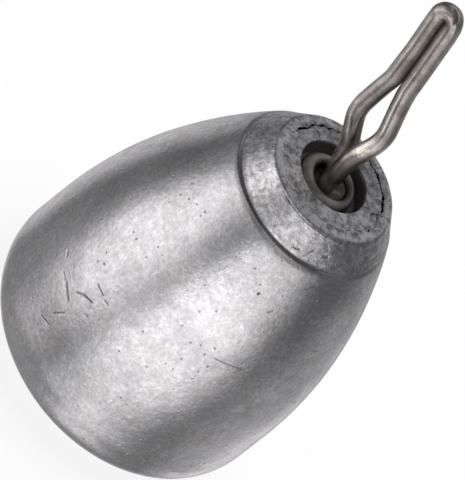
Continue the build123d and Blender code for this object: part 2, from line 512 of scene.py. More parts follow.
def plated_metal():
    """Dull brownish plating, rubbed brighter along the crest of the lip and with painted shade on one side."""
    swivel = settings("sinker_swivel")
    material, tree, shader, place = new_material("plated barrel")
    blotches = noise(tree, place, 3.2, 4, 0.6)
    grain = noise(tree, place, 16, 3)
    metal = mix_colours(tree, remap(tree, blotches, 0.35, 0.65, 0, 1), solid(swivel.plating), DARK_PLATING)
    for name, other in (("rubbed", RUBBED_PLATING), ("side_shade", SIDE_SHADE_PLATING)):
        metal = mix_colours(tree, attribute(tree, name), metal, other)
    rough = remap(tree, blotches, 0.3, 0.7, 0.30, 0.46, "LINEAR")
    give_looks(tree, shader, metal, rough, bumps(tree, (grain, 0.004)), 0.85)
    return material


def wire_metal():
    """Satin drawn wire: lines along its length, brown stains, painted light round the wire, painted shade between the
    legs and a worn neck.
    """
    clip = settings("sinker_clip")
    material, tree, shader, place = new_material("clip wire")
    along = attribute(tree, "wire_place", "Vector")
    lines = noise(tree, vector_calc(tree, "MULTIPLY", along, (5.0, 5.0, 0.35)), 1.0, 3, 0.6)
    blotches = noise(tree, place, 1.5, 4, 0.6)
    grain = noise(tree, place, 14, 3)
    stained = remap(tree, calc(tree, "ADD", blotches, times(tree, lines, 0.5)), 0.62, 0.95, 0, 0.8)
    stained = calc(tree, "MAXIMUM", stained, attribute(tree, "stain"))
    metal = mix_colours(tree, stained, solid(clip.metal), solid(clip.stain))
    shade = times(tree, attribute(tree, "painted_light"), remap(tree, grain, 0.3, 0.7, 0.84, 1.16, "LINEAR"))
    metal = scaled(tree, metal, weighed(tree, shade, (dots(tree, place, *WIRE_SPECKS), 0.35)))
    rubbed = remap(tree, noise(tree, place, 6.5, 3, 0.6), 0.42, 0.60, 0, 1)
    metal = mix_colours(tree, times(tree, rubbed, attribute(tree, "worn")), metal, solid(clip.worn))
    # Painted shade between the legs, in the press mark and low on the front leg
    crevice_shade = attribute(tree, "crevice_shade")
    metal = mix_colours(tree, crevice_shade, metal, solid(clip.crevice_shade))
    rough = remap(tree, lines, 0.3, 0.7, 0.24, 0.38, "LINEAR")
    normal = bumps(tree, (lines, 0.010), (grain, 0.003))
    give_looks(tree, shader, metal, rough, normal, times_plus(tree, crevice_shade, -0.8, 1.0))
    return material


# Painted highlight on the bead's edge, across the swivel at rest, as both ends, half width and strength
BEAD_HIGHLIGHT = (((0.10, -0.30), (0.34, -0.16), 0.15, 0.5), ((0.34, -0.16), (0.58, 0.02), 0.15, 0.5))


def bead_metal():
    """Dull olive brass with darker blotches and a painted highlight along one edge."""
    swivel = settings("sinker_swivel")
    material, tree, shader, place = new_material("bead brass")
    blotches = noise(tree, place, 4, 4, 0.6)
    metal = mix_colours(tree, remap(tree, blotches, 0.35, 0.7, 0, 1), solid(swivel.brass), DARK_BRASS)
    edge = strokes(tree, vector_calc(tree, "MULTIPLY", place, (1, 1, 0)), BEAD_HIGHLIGHT)
    # Painted highlight along the bead's edge
    metal = mix_colours(tree, edge, metal, HIGHLIGHT_BRASS)
    rough = remap(tree, blotches, 0.3, 0.7, 0.28, 0.42, "LINEAR")
    give_looks(tree, shader, metal, rough, bumps(tree, (noise(tree, place, 18, 3), 0.004)), 0.6)
    return material


# Outlines of turned pieces, as rows of (radius, height) in millimetres


def straight(start, end, count):
    """Rows on a straight stretch, without its end."""
    return [tuple(a + (b - a) * k / count for a, b in zip(start, end)) for k in range(count)]


def arc(centre, radius, start, end, count):
    """Rows on an arc between two angles in radians, without its end."""
    turns = [start + (end - start) * k / count for k in range(count)]
    return [(centre[0] + radius * cos(t), centre[1] + radius * sin(t)) for t in turns]


def corner(before, peak, after, count):
    """Rows round a softened corner, without its end."""
    rows = []
    for k in range(count):
        t = k / count
        weights = ((1 - t) ** 2, 2 * t * (1 - t), t * t)
        rows.append(tuple(sum(w * p[i] for w, p in zip(weights, (before, peak, after))) for i in range(2)))
    return rows


def between(start, end, share):
    """A point part of the way from one to another."""
    return tuple(a + (b - a) * share for a, b in zip(start, end))


def outline(at, *stretches):
    """Rows of stretches one after another, without the last end: (end, count), or (peak, end, count) at a corner."""
    rows = []
    for *points, count in stretches:
        rows += (corner if len(points) > 1 else straight)(at, *points, count)
        at = points[-1]
    return rows


def turned_mesh(name, rows, sides, closed=False, shape=None):
    """Turns an anticlockwise outline about Z: a closed one makes a ring, an open one starts and ends on the axis."""
    rows = np.array(rows, float)
    turns = np.linspace(0, 2 * pi, sides, endpoint=False)
    radius, turn = np.meshgrid(rows[:, 0], turns, indexing="ij")
    height = np.repeat(rows[:, 1:], sides, axis=1)
    if shape:
        radius, height = shape(radius, height, turn)
    points = np.stack((radius * np.cos(turn), radius * np.sin(turn), height), -1).reshape(-1, 3) * MM
    ring = np.arange(sides)
    after = np.roll(ring, -1)
    quads = []
    for row in range(len(rows) if closed else len(rows) - 1):
        low, high = row * sides, (row + 1) % len(rows) * sides
        quads.append(np.stack((low + ring, low + after, high + after, high + ring), 1))
    mesh = bpy.data.meshes.new(name)
    mesh.from_pydata(points.tolist(), [], np.concatenate(quads).tolist())
    if not closed:
        close_poles(mesh, sides)
    mesh.shade_smooth()
    return mesh


def close_poles(mesh, sides):
    """Joins the points of the first and last rows, which all lie on the axis."""
    net = bmesh.new()
    net.from_mesh(mesh)
    net.verts.ensure_lookup_table()
    ends = list(net.verts[:sides]) + list(net.verts[-sides:])
    bmesh.ops.remove_doubles(net, verts=ends, dist=0.0001 * MM)
    net.to_mesh(mesh)
    net.free()


def places(mesh):
    """Points of a mesh in millimetres."""
    flat = np.empty(len(mesh.vertices) * 3)
    mesh.vertices.foreach_get("co", flat)
    return flat.reshape(-1, 3) / MM


def turned_places(mesh):
    """Radius, height and turn of a mesh's points, in millimetres and radians."""
    x, y, level = places(mesh).T
    return np.hypot(x, y), level, np.arctan2(y, x)


def store(mesh, name, values):
    """Keeps one number for each point of a mesh, for its material to read."""
    layer = mesh.attributes.new(name, "FLOAT", "POINT")
    layer.data.foreach_set("value", np.asarray(values, np.float32))


def fade(values, start, end):
    """0 before start and 1 after end, smooth between; start may be the larger."""
    t = np.clip((values - start) / (end - start), 0, 1)
    return t * t * (3 - 2 * t)


def add_piece(name, mesh, body, slot, material, *nodes):
    """Puts a finished mesh in the scene, on its body and in place of its CAD nodes."""
    piece = bpy.data.objects.new(name, mesh)
    bpy.context.scene.collection.objects.link(piece)
    mesh.materials.clear()
    mesh.materials.append(material)
    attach(piece, body)
    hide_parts(*nodes)


# Geometry Nodes


def new_tree(name, **sizes):
    """A Geometry Nodes tree with geometry in and out, a material and named sizes; gives its input and output nodes."""
    tree = bpy.data.node_groups.new(name, "GeometryNodeTree")
    tree.interface.new_socket("Geometry", in_out="INPUT", socket_type="NodeSocketGeometry")
    tree.interface.new_socket("Material", in_out="INPUT", socket_type="NodeSocketMaterial")
    for label in sizes:
        tree.interface.new_socket(label.replace("_", " ").capitalize(), in_out="INPUT", socket_type="NodeSocketFloat")
    tree.interface.new_socket("Geometry", in_out="OUTPUT", socket_type="NodeSocketGeometry")
    return tree, add_node(tree, "NodeGroupInput"), add_node(tree, "NodeGroupOutput")


def end_tree(tree, source, sink, geometry):
    """Ends a tree in real, smooth geometry with its material."""
    real = add_node(tree, "GeometryNodeRealizeInstances", {0: geometry}).outputs[0]
    smooth = add_node(tree, "GeometryNodeSetShadeSmooth", {"Geometry": real}).outputs[0]
    done = add_node(tree, "GeometryNodeSetMaterial", {"Geometry": smooth, "Material": source.outputs["Material"]})
    tree.links.new(done.outputs[0], sink.inputs[0])


def made_by(tree, data, material, **sizes):
    """Runs a tree on a mesh or a curve and gives the result as a plain mesh."""
    carrier = bpy.data.objects.new(tree.name, data)
    bpy.context.scene.collection.objects.link(carrier)
    modifier = carrier.modifiers.new(tree.name, "NODES")
    modifier.node_group = tree
    named = {label.replace("_", " ").capitalize(): value for label, value in sizes.items()}
    named["Material"] = material
    for item in tree.interface.items_tree:
        if item.in_out == "INPUT" and item.name in named:
            modifier[item.identifier] = named[item.name]
    result = bpy.data.meshes.new_from_object(carrier.evaluated_get(bpy.context.evaluated_depsgraph_get()))
    carrier.modifiers.remove(modifier)
    bpy.data.objects.remove(carrier)
    return result


def cast_skin(mesh, material, **sizes):
    """Makes a turned mesh uneven as a casting is: slow swells and small bumps along its normals."""
    tree, source, sink = new_tree("Cast skin", **sizes)
    place = scaled(tree, add_node(tree, "GeometryNodeInputPosition").outputs[0], 1 / MM)
    offset = None
    for label, spread in (("Swell", 0.62), ("Dents", 2.1)):
        uneven = calc(tree, "SUBTRACT", noise(tree, place, spread, 2), 0.5)
        part = times(tree, uneven, source.outputs[label])
        offset = part if offset is None else calc(tree, "ADD", offset, part)
    push = scaled(tree, add_node(tree, "GeometryNodeInputNormal").outputs[0], offset)
    moved = add_node(tree, "GeometryNodeSetPosition", {"Geometry": source.outputs["Geometry"], "Offset": push})
    end_tree(tree, source, sink, moved.outputs[0])
    return made_by(tree, mesh, material, **sizes)


SECTION_POINTS = 72


def captured(tree, label, geometry, value):
    """Keeps a value on a curve's points; gives the curve and the kept value."""
    node = add_node(tree, "GeometryNodeCaptureAttribute")
    node.capture_items.new("FLOAT", label)
    feed(tree, node.inputs[0], geometry)
    feed(tree, node.inputs[1], value)
    return node.outputs[0], node.outputs[1]


def bent_wire(path, material, **sizes):
    """Sweeps a round section along a path and keeps where each point lies round and along the wire."""
    tree, source, sink = new_tree("Bent wire", **sizes)
    inputs = {"Curve": source.outputs["Geometry"], "Length": source.outputs["Step"]}
    rail = add_node(tree, "GeometryNodeResampleCurve", inputs, mode="LENGTH").outputs[0]
    inputs = {"Resolution": SECTION_POINTS, "Radius": source.outputs["Radius"]}
    section = add_node(tree, "GeometryNodeCurvePrimitiveCircle", inputs).outputs[0]
    rail_length = add_node(tree, "GeometryNodeSplineParameter").outputs["Length"]
    section_share = add_node(tree, "GeometryNodeSplineParameter").outputs["Factor"]
    rail, along = captured(tree, "Along", rail, rail_length)
    section, share = captured(tree, "Round", section, section_share)
    inputs = {"Curve": rail, "Profile Curve": section, "Fill Caps": True}
    tube = add_node(tree, "GeometryNodeCurveToMesh", inputs).outputs[0]
    turn = times(tree, share, 2 * pi)
    inputs = {0: calc(tree, "COSINE", turn), 1: calc(tree, "SINE", turn), 2: calc(tree, "DIVIDE", along, MM)}
    place = add_node(tree, "ShaderNodeCombineXYZ", inputs).outputs[0]
    ridges = noise(tree, vector_calc(tree, "MULTIPLY", place, (1.6, 1.6, 0.25)), 1.0, 2)
    dents = noise(tree, vector_calc(tree, "MULTIPLY", place, (1.2, 1.2, 1.1)), 1.0, 2)
    uneven = calc(tree, "SUBTRACT", calc(tree, "ADD", ridges, dents), 1.0)
    push = times(tree, uneven, source.outputs["Unevenness"])
    push = scaled(tree, add_node(tree, "GeometryNodeInputNormal").outputs[0], push)
    moved = add_node(tree, "GeometryNodeSetPosition", {"Geometry": tube, "Offset": push}).outputs[0]
    inputs = {"Geometry": moved, "Name": "wire_place", "Value": place}
    kept = add_node(tree, "GeometryNodeStoreNamedAttribute", inputs, data_type="FLOAT_VECTOR", domain="POINT")
    end_tree(tree, source, sink, kept.outputs[0])
    return made_by(tree, path, material, **sizes)


# Ragged seam between the weight and its sleeve


def wander(knots, seed):
    """A closed random course from -1 to 1 over a turn, straight between its knots."""
    random = np.random.default_rng(seed)
    at = np.sort(random.uniform(-pi, pi, knots))
    value = random.uniform(-1, 1, knots)

    def course(turn):
        wrapped = (turn + pi) % (2 * pi) - pi
        return np.interp(wrapped, at, value, period=2 * pi)

    return course


# Courses of the seam, its teeth and its width, each with its own seed; their reach in millimetres, the width's share
# of the widest gap, and the turns in degrees between which the seam is open
seam_course = wander(92, 5)
seam_teeth = wander(210, 3)
seam_width = wander(170, 11)
SEAM_WANDER, SEAM_TOOTH = 0.05, 0.05
SEAM_MEAN, SEAM_VARY, SEAM_LEAST = 0.62, 0.5, 0.30
SEAM_OPEN = ((24, 96), (116, 176))


def seam_gap(turn):
    """Width of the seam in millimetres: open along two stretches on the far side and closed elsewhere."""
    weight = settings("sinker_weight")
    wrapped = np.degrees(turn) % 360
    wide = sum(fade(wrapped, start - 5, start + 4) * fade(wrapped, end + 9, end - 4) for start, end in SEAM_OPEN)
    share = np.clip(SEAM_MEAN + SEAM_VARY * seam_width(turn), SEAM_LEAST, 1)
    return share * wide * weight.seam_gap / MM


def seam_radius(turn):
    """Middle of the seam in millimetres."""
    course = SEAM_WANDER * seam_course(turn) + SEAM_TOOTH * seam_teeth(turn)
    return settings("sinker_weight").seam_radius / MM + course


# Pieces

WEIGHT_SIDES = 440
SLEEVE_SIDES = 440
BARREL_SIDES = 160
BEAD_SIDES = 96
SEAM_DEPTH = 0.40

# Softened edges in millimetres, and the bead's in radians too
SEAM_EDGE, NOSE_EDGE, MOUTH_EDGE, FLANGE_EDGE = 0.02, 0.17, 0.07, 0.05
BEAD_CORNER, BEAD_TURN = 0.04, 0.05
SHOULDER_EDGE = 0.10

# Room between the barrel's flange and the weight, at its side and below it
FLANGE_SIDE, FLANGE_BELOW = 0.10, 0.05

# How far the mouth and the lip's outer side lie off the axis, in millimetres
MOUTH_ASIDE = (-0.08, 0.04)
LIP_ASIDE = (-0.10, -0.17)


def pushed(aside, turn):
    """How far a ring's points go outwards when the ring is moved aside."""
    return aside[0] * np.cos(turn) + aside[1] * np.sin(turn)


def belly_arcs(weight):
    """The two arcs of the belly, each as its middle, its radius and its angles in millimetres and radians."""
    radius, widest = weight.radius / MM, weight.widest / MM
    shoulder_height = (weight.height - weight.collar_height) / MM
    draw = weight.belly_draw / MM
    joint = Vector((radius - draw, shoulder_height - weight.belly_drop / MM))
    rise = joint.y - widest
    low = (draw**2 + rise**2) / (2 * draw)
    meet = asin(rise / low)
    outward = Vector((cos(meet), sin(meet)))
    run = Vector((weight.shoulder_radius / MM, shoulder_height)) - joint
    high = run.length_squared / (-2 * run.dot(outward))
    middle = joint - outward * high
    end = atan2(shoulder_height - middle.y, weight.shoulder_radius / MM - middle.x)
    return ((radius - low, widest), low, 0, meet), (tuple(middle), high, meet, end)


def weight_rows(weight, filled=0.0):
    """Outline of the weight from its base over the nose to its bore; filled is how far its step is smeared over."""
    radius, height, base_corner = weight.radius / MM, weight.height / MM, weight.base_corner / MM
    widest, shoulder = weight.widest / MM, weight.shoulder_radius / MM
    collar, nose = weight.collar_radius / MM, weight.nose_radius / MM
    shoulder_height = height - weight.collar_height / MM
    low_arc, (middle, high, meet, end) = belly_arcs(weight)
    end -= SHOULDER_EDGE / high
    seam, bore_floor = sleeve_high.x / MM, sleeve_low.z / MM
    pocket, pocket_floor = barrel_high.x / MM + FLANGE_SIDE, barrel_low.z / MM - FLANGE_BELOW

    # The step's foot and peak: undercut where it is sharp, and closed up where it is smeared over
    foot = (collar - 0.02 + 0.065 * filled, shoulder_height - 0.05 + 0.10 * filled)
    peak = (shoulder - 0.03 * filled, shoulder_height + 0.01 * filled)
    rim_start = between(foot, (nose, height), 0.90)
    edge = (middle[0] + high * cos(end), middle[1] + high * sin(end))

    rows = straight((0, 0), (radius - base_corner, 0), 12)
    rows += arc((radius - base_corner, base_corner), base_corner, -pi / 2, 0, 26)
    rows += straight((radius, base_corner), (radius, widest), 8)
    rows += arc(*low_arc, 40)
    rows += arc(middle, high, meet, end, 44)
    rows += outline(
        edge,
        (peak, between(peak, foot, 0.55), 6),
        (foot, between(foot, rim_start, 0.07), 6),
        (rim_start, 20),
        ((nose, height), (nose - NOSE_EDGE, height), 8),
        ((seam + SEAM_EDGE, height), 9),
        ((seam, height), (seam, height - SEAM_EDGE), 3),
        ((seam, height - SEAM_DEPTH), 4),
        ((seam, bore_floor), 2),
        ((pocket, bore_floor), 2),
        ((pocket, pocket_floor), 2),
        ((0, pocket_floor), 3),
    )
    return rows + [(0, pocket_floor)]


# Extra painted light on the flat nose in front and along its rim, the turn it comes from in degrees and the rim's
# radii
FRONT_LIGHT, RIM_LIGHT, LIGHT_TURN, RIM_RADII = 0.21, 0.28, -85, (2.58, 2.70)


def nose_painted_light(radius, level, turn, height):
    """Painted light on the flat nose: a little lighter in front, and lighter again along its rim."""
    flat = fade(level, height - 0.05, height - 0.01)
    front = FRONT_LIGHT * np.cos(turn - radians(LIGHT_TURN))
    return 1 + flat * (front + RIM_LIGHT * fade(radius, *RIM_RADII))


def dress_nose(mesh, height, by_seam):
    """Keeps the seam's painted shade, the matte nose and its painted light for the material; by_seam picks what
    borders the seam.
    """
    radius, level, turn = turned_places(mesh)
    # Painted shade in the seam, growing darker down into it
    store(mesh, "shade_and_grime", fade(level, height - 0.03, height - 0.12) * by_seam(radius))
    store(mesh, "matte", fade(level, height - 0.05, height - 0.01))
    store(mesh, "painted_light", nose_painted_light(radius, level, turn, height))


# Where the collar's step shows: the turn of its middle in degrees, and how far from it the smear starts and is full
STEP_MIDDLE, SMEAR_START, SMEAR_FULL = -102, 45, 75


class SINKER_OT_weight(Operator):
    """Build the cast weight with its ragged seam, scratches, painted shade and dark nicks"""

    bl_idname = "sinker.weight"
    bl_label = "Cast weight"

    def execute(self, context):
        weight = settings("sinker_weight")
        height = weight.height / MM
        seam = sleeve_high.x / MM
        smeared = np.array(weight_rows(weight, 1.0))

        def shape(radius, level, turn):
            near = fade(radius, seam + 0.20, seam) * fade(level, height - SEAM_DEPTH, height - 0.08)
            near = near * (radius > seam - 0.01)
            apart = np.abs((np.degrees(turn) - STEP_MIDDLE + 180) % 360 - 180)
            filled = fade(apart, SMEAR_START, SMEAR_FULL)
            radius = radius + filled * (smeared[:, :1] - radius)
            level = level + filled * (smeared[:, 1:] - level)
            return radius + near * (seam_radius(turn) + seam_gap(turn) / 2 - seam), level

        mesh = turned_mesh("cast_weight", weight_rows(weight), WEIGHT_SIDES, shape=shape)
        mesh = cast_skin(mesh, cast_metal(), swell=0.020 * MM, dents=0.007 * MM)
        dress_nose(mesh, height, lambda radius: radius < seam + 0.2)
        add_piece("cast_weight", mesh, "weight", "cast_weight", cast_metal(), "sinker_body")
        return {"FINISHED"}


class SINKER_OT_sleeve(Operator):
    """Build the sleeve that is set in the nose of the weight"""

    bl_idname = "sinker.sleeve"
    bl_label = "Nose sleeve"

    def execute(self, context):
        weight = settings("sinker_weight")
        height, mouth, bearing = weight.height / MM, weight.mouth_radius / MM, weight.bearing_radius / MM
        seam, bottom, ledge = sleeve_high.x / MM, sleeve_low.z / MM, height - weight.mouth_depth / MM
        rows = outline(
            (seam, bottom),
            ((seam, height - SEAM_DEPTH), 3),
            ((seam, height - SEAM_EDGE), 5),
            ((seam, height), (seam - SEAM_EDGE, height), 3),
            ((mouth + MOUTH_EDGE, height), 26),
            ((mouth, height), (mouth, height - MOUTH_EDGE), 6),
            ((mouth, ledge), 8),
            ((bearing, ledge), 3),
            ((bearing, bottom), 4),
            ((seam, bottom), 3),
        )

        def shape(radius, level, turn):
            near = fade(radius, seam - 0.30, seam) * fade(level, height - SEAM_DEPTH, height - 0.08)
            drawn = near * (seam_radius(turn) - seam_gap(turn) / 2 - seam)
            aside = fade(radius, mouth + 0.40, mouth) * fade(level, ledge, height - 0.3)
            return radius + drawn + aside * pushed(MOUTH_ASIDE, turn), level

        mesh = turned_mesh("nose_sleeve", rows, SLEEVE_SIDES, closed=True, shape=shape)
        mesh = cast_skin(mesh, cast_metal(), swell=0.010 * MM, dents=0.010 * MM)
        dress_nose(mesh, height, lambda radius: radius > seam - 0.35)
        radius, level, _ = turned_places(mesh)
        store(mesh, "film", fade(level, height - 0.04, height - 0.16) * (radius < mouth + 0.2))
        add_piece("nose_sleeve", mesh, "weight", "cast_weight", cast_metal(), "bore_sleeve")
        return {"FINISHED"}


class SINKER_OT_barrel(Operator):
    """Build the swivel barrel with its turned-in lip and the flange below"""

    bl_idname = "sinker.barrel"
    bl_label = "Swivel barrel"

    def execute(self, context):
        swivel = settings("sinker_swivel")
        outer, roll, lip = swivel.barrel_radius / MM, swivel.lip_roll / MM, swivel.lip_height / MM
        foot, flange_top = barrel_low.z / MM, (barrel_low.z + swivel.flange) / MM
        flange, crest = barrel_high.x / MM, outer - roll
        rows = outline(
            (flange, foot),
            ((flange, flange_top - FLANGE_EDGE), 3),
            ((flange, flange_top), (flange - FLANGE_EDGE, flange_top), 4),
            ((outer, flange_top), 4),
            ((outer, lip), 14),
        )
        rows += arc((crest, lip), roll, 0, pi, 30)
        rows += outline((crest - roll, lip), ((crest, lip), 4), ((crest, foot), 10), ((flange, foot), 5))

        def shape(radius, level, turn):
            aside = fade(radius, crest - 0.15, outer) * fade(level, lip - 0.35, lip)
            return radius + aside * pushed(LIP_ASIDE, turn), level

        mesh = turned_mesh("rolled_barrel", rows, BARREL_SIDES, closed=True, shape=shape)
        mesh = cast_skin(mesh, None, swell=0.012 * MM, dents=0.006 * MM)
        radius, level, turn = turned_places(mesh)
        store(mesh, "rubbed", fade(level, lip + 0.10, lip + roll) * fade(radius, outer, crest))
        # Painted shade on one side of the barrel
        store(mesh, "side_shade", 0.7 * fade(np.cos(turn - radians(10)), 0.35, 0.95))
        add_piece("rolled_barrel", mesh, "swivel", "plated_barrel", plated_metal(), "swivel_barrel")
        return {"FINISHED"}


# Bends of a leg from the lip up: their radii in millimetres; the step between points on a bend and on the hairpin
LEG_BENDS = (1.0, 1.2, 2.1, 2.5)
BEND_STEP = radians(5)


def rounded_path(corners, radii):
    """Points on a path of straight runs joined by tangent arcs, one radius for each inner corner."""
    corners = [Vector(point) for point in corners]
    path = [corners[0]]
    for before, peak, after, radius in zip(corners, corners[1:], corners[2:], radii):
        into, out = (peak - before).normalized(), (after - peak).normalized()
        turn = into.angle(out)
        start = peak - into * radius * tan(turn / 2)
        inward = (out - into * into.dot(out)).normalized()
        steps = max(2, ceil(turn / BEND_STEP))
        for k in range(steps + 1):
            t = turn * k / steps
            path.append(start + into * radius * sin(t) + inward * radius * (1 - cos(t)))
    return path + [corners[-1]]


def clip_matrix(clip):
    """From the leaning clip's own millimetres to the row frame: origin at the middle of the bead, Z up the clip."""
    across = Vector((cos(clip.lean), 0, sin(clip.lean)))
    up = Vector((-sin(clip.lean), 0, cos(clip.lean)))
    turn = Matrix((across, Vector((0, 1, 0)), up)).transposed().to_4x4()
    return Matrix.Translation(rock_pivot) @ turn @ Matrix.Scale(MM, 4)


def leg_spread(clip):
    """Half the distance between the middles of the pinched legs, in millimetres."""
    return (clip.wire + clip.leg_gap) / 2 / MM


def clip_levels(clip, weight, swivel):
    """Heights of the nose, the lip and the middle of the hairpin up the leaning clip, in millimetres."""
    nose = (weight.height - rock_pivot.z) / cos(clip.lean) / MM
    lip = (swivel.lip_height - rock_pivot.z) / cos(clip.lean) / MM
    return nose, lip, nose + clip.height / MM - clip.wire / 2 / MM - leg_spread(clip)


def leg_corners(clip, weight, swivel, side):
    """Corners of one leg from the bead up to the hairpin; side is 1 on the right and -1 on the left."""
    nose, lip, tip = clip_levels(clip, weight, swivel)
    spread = leg_spread(clip)
    neck, eye = spread + clip.neck_opening / MM, spread + clip.eye_opening / MM
    leg_x, leg_y = spread * cos(clip.leg_twist), spread * sin(clip.leg_twist)
    neck_x, neck_y = neck * cos(clip.neck_twist), neck * sin(clip.neck_twist)
    return [
        (side * leg_x, -side * leg_y, -swivel.bead_half_height / MM),
        (side * leg_x, -side * leg_y, lip),
        (side * neck_x, -side * neck_y, nose + clip.neck_height / MM),
        (side * eye, 0, nose + clip.eye_height / MM - side * clip.eye_stagger / MM),
        (side * spread, 0, nose + clip.pinch_height / MM),
        (side * spread, 0, tip),
    ]


# Angles round the wire are in degrees towards the left from the side that faces this way in the clip's own frame
LEG_FACE = (0.13, -0.766, 0.63)

# Shallow line that the drawing die left along the wire: its place round it and half width in degrees, and its depth
DIE_LINE, DIE_WIDTH, DIE_DEPTH = 24, 17, 0.028

# Painted light round each leg: how light or dark each leg is painted round the wire
LEFT_PAINTED_LIGHT = {
    -90: 0.50, -60: 0.35, -45: 0.42, -30: 0.62, -15: 0.60, 0: 0.56, 12: 0.75, 20: 1.2,
    27: 1.7, 34: 1.9, 42: 1.85, 50: 1.6, 60: 1.35, 75: 1.0, 90: 0.8, 180: 0.9,
}
RIGHT_PAINTED_LIGHT = {
    -90: 0.90, -60: 0.95, -46: 0.95, -31: 1.0, -18: 0.78, -6: 0.78, 5: 0.80, 14: 0.92,
    20: 1.05, 27: 1.5, 31: 1.6, 38: 1.5, 46: 1.3, 60: 1.15, 90: 0.8, 180: 0.9,
}
LIGHTEST = 1.95

# How far each leg is bent to the right of its drawn path, in millimetres by height up the clip
LEFT_ASIDE = {
    3.2: 0, 3.8: 0.018, 4.5: 0.046, 5.1: 0.026, 5.7: 0.015, 8.0: 0.022, 8.7: 0.028, 9.3: 0.012, 10.4: -0.026,
}
RIGHT_ASIDE = {
    3.2: 0, 5.8: -0.028, 6.3: -0.012, 6.7: 0.016, 7.1: 0.024, 7.6: 0.016, 8.4: 0, 9.0: -0.014, 10.4: -0.045,
}

# How far the hairpin's right is drawn in, by height up the clip, and by what share the pinched part is shorter
HAIRPIN_DRAW = {10.3: 1, 10.8: 0.96, 11.1: 0.88, 11.4: 0.85, 11.75: 0.91}
HAIRPIN_DROP = 0.0235

# Strip between the pinched legs that is pressed together: its half width, how far each side gives, and over what width
PINCH_STRIP, PINCH_GIVE, PINCH_RAMP = 0.15, 0.01, 0.14

# Mark that a tool pressed into the hairpin, in degrees round the bend and round the wire: its middle, its slant,
# the bends where it starts, is full and fades, its half widths, its share of the wire's depth and its end's painted
# highlight
MARK_BEND, MARK_ROUND, MARK_SLANT = 41, 50, 0.68
MARK_START, MARK_FULL, MARK_FADE, MARK_STOP = 36, 40, 84, 112
MARK_OUTER, MARK_INNER, MARK_DEPTH = 24, 12, 0.09
MARK_TIP = (31, 56)

# Painted shade between the legs: how far it reaches, how much farther low down, and how strong it is on each leg
SHADE_REACH, SHADE_LOWER, SHADE_LEFT, SHADE_RIGHT = 0.24, 0.06, 0.92, 0.6

# Worn patch on the right leg: its middle across and up the clip, its slant, and its place round the wire in degrees
WORN_ACROSS, WORN_HEIGHT, WORN_SLANT, WORN_ROUND = 0.54, 3.28, 0.3, 28


def course_of(values, table):
    """Reads a table at the given values, straight between its entries."""
    return np.interp(values, list(table), list(table.values()))


def angles_round(away, middles):
    """Where each point lies round the wire, in degrees towards the left from LEG_FACE."""
    run = np.gradient(middles, axis=0)
    run *= (np.where(run[:, 2] < 0, -1, 1) / np.linalg.norm(run, axis=1))[:, None]
    facing = np.array(LEG_FACE) - (run @ LEG_FACE)[:, None] * run
    facing /= np.linalg.norm(facing, axis=1)[:, None]
    left = np.cross(facing, run)
    return np.degrees(np.arctan2((away * left[:, None]).sum(-1), (away * facing[:, None]).sum(-1))).ravel()


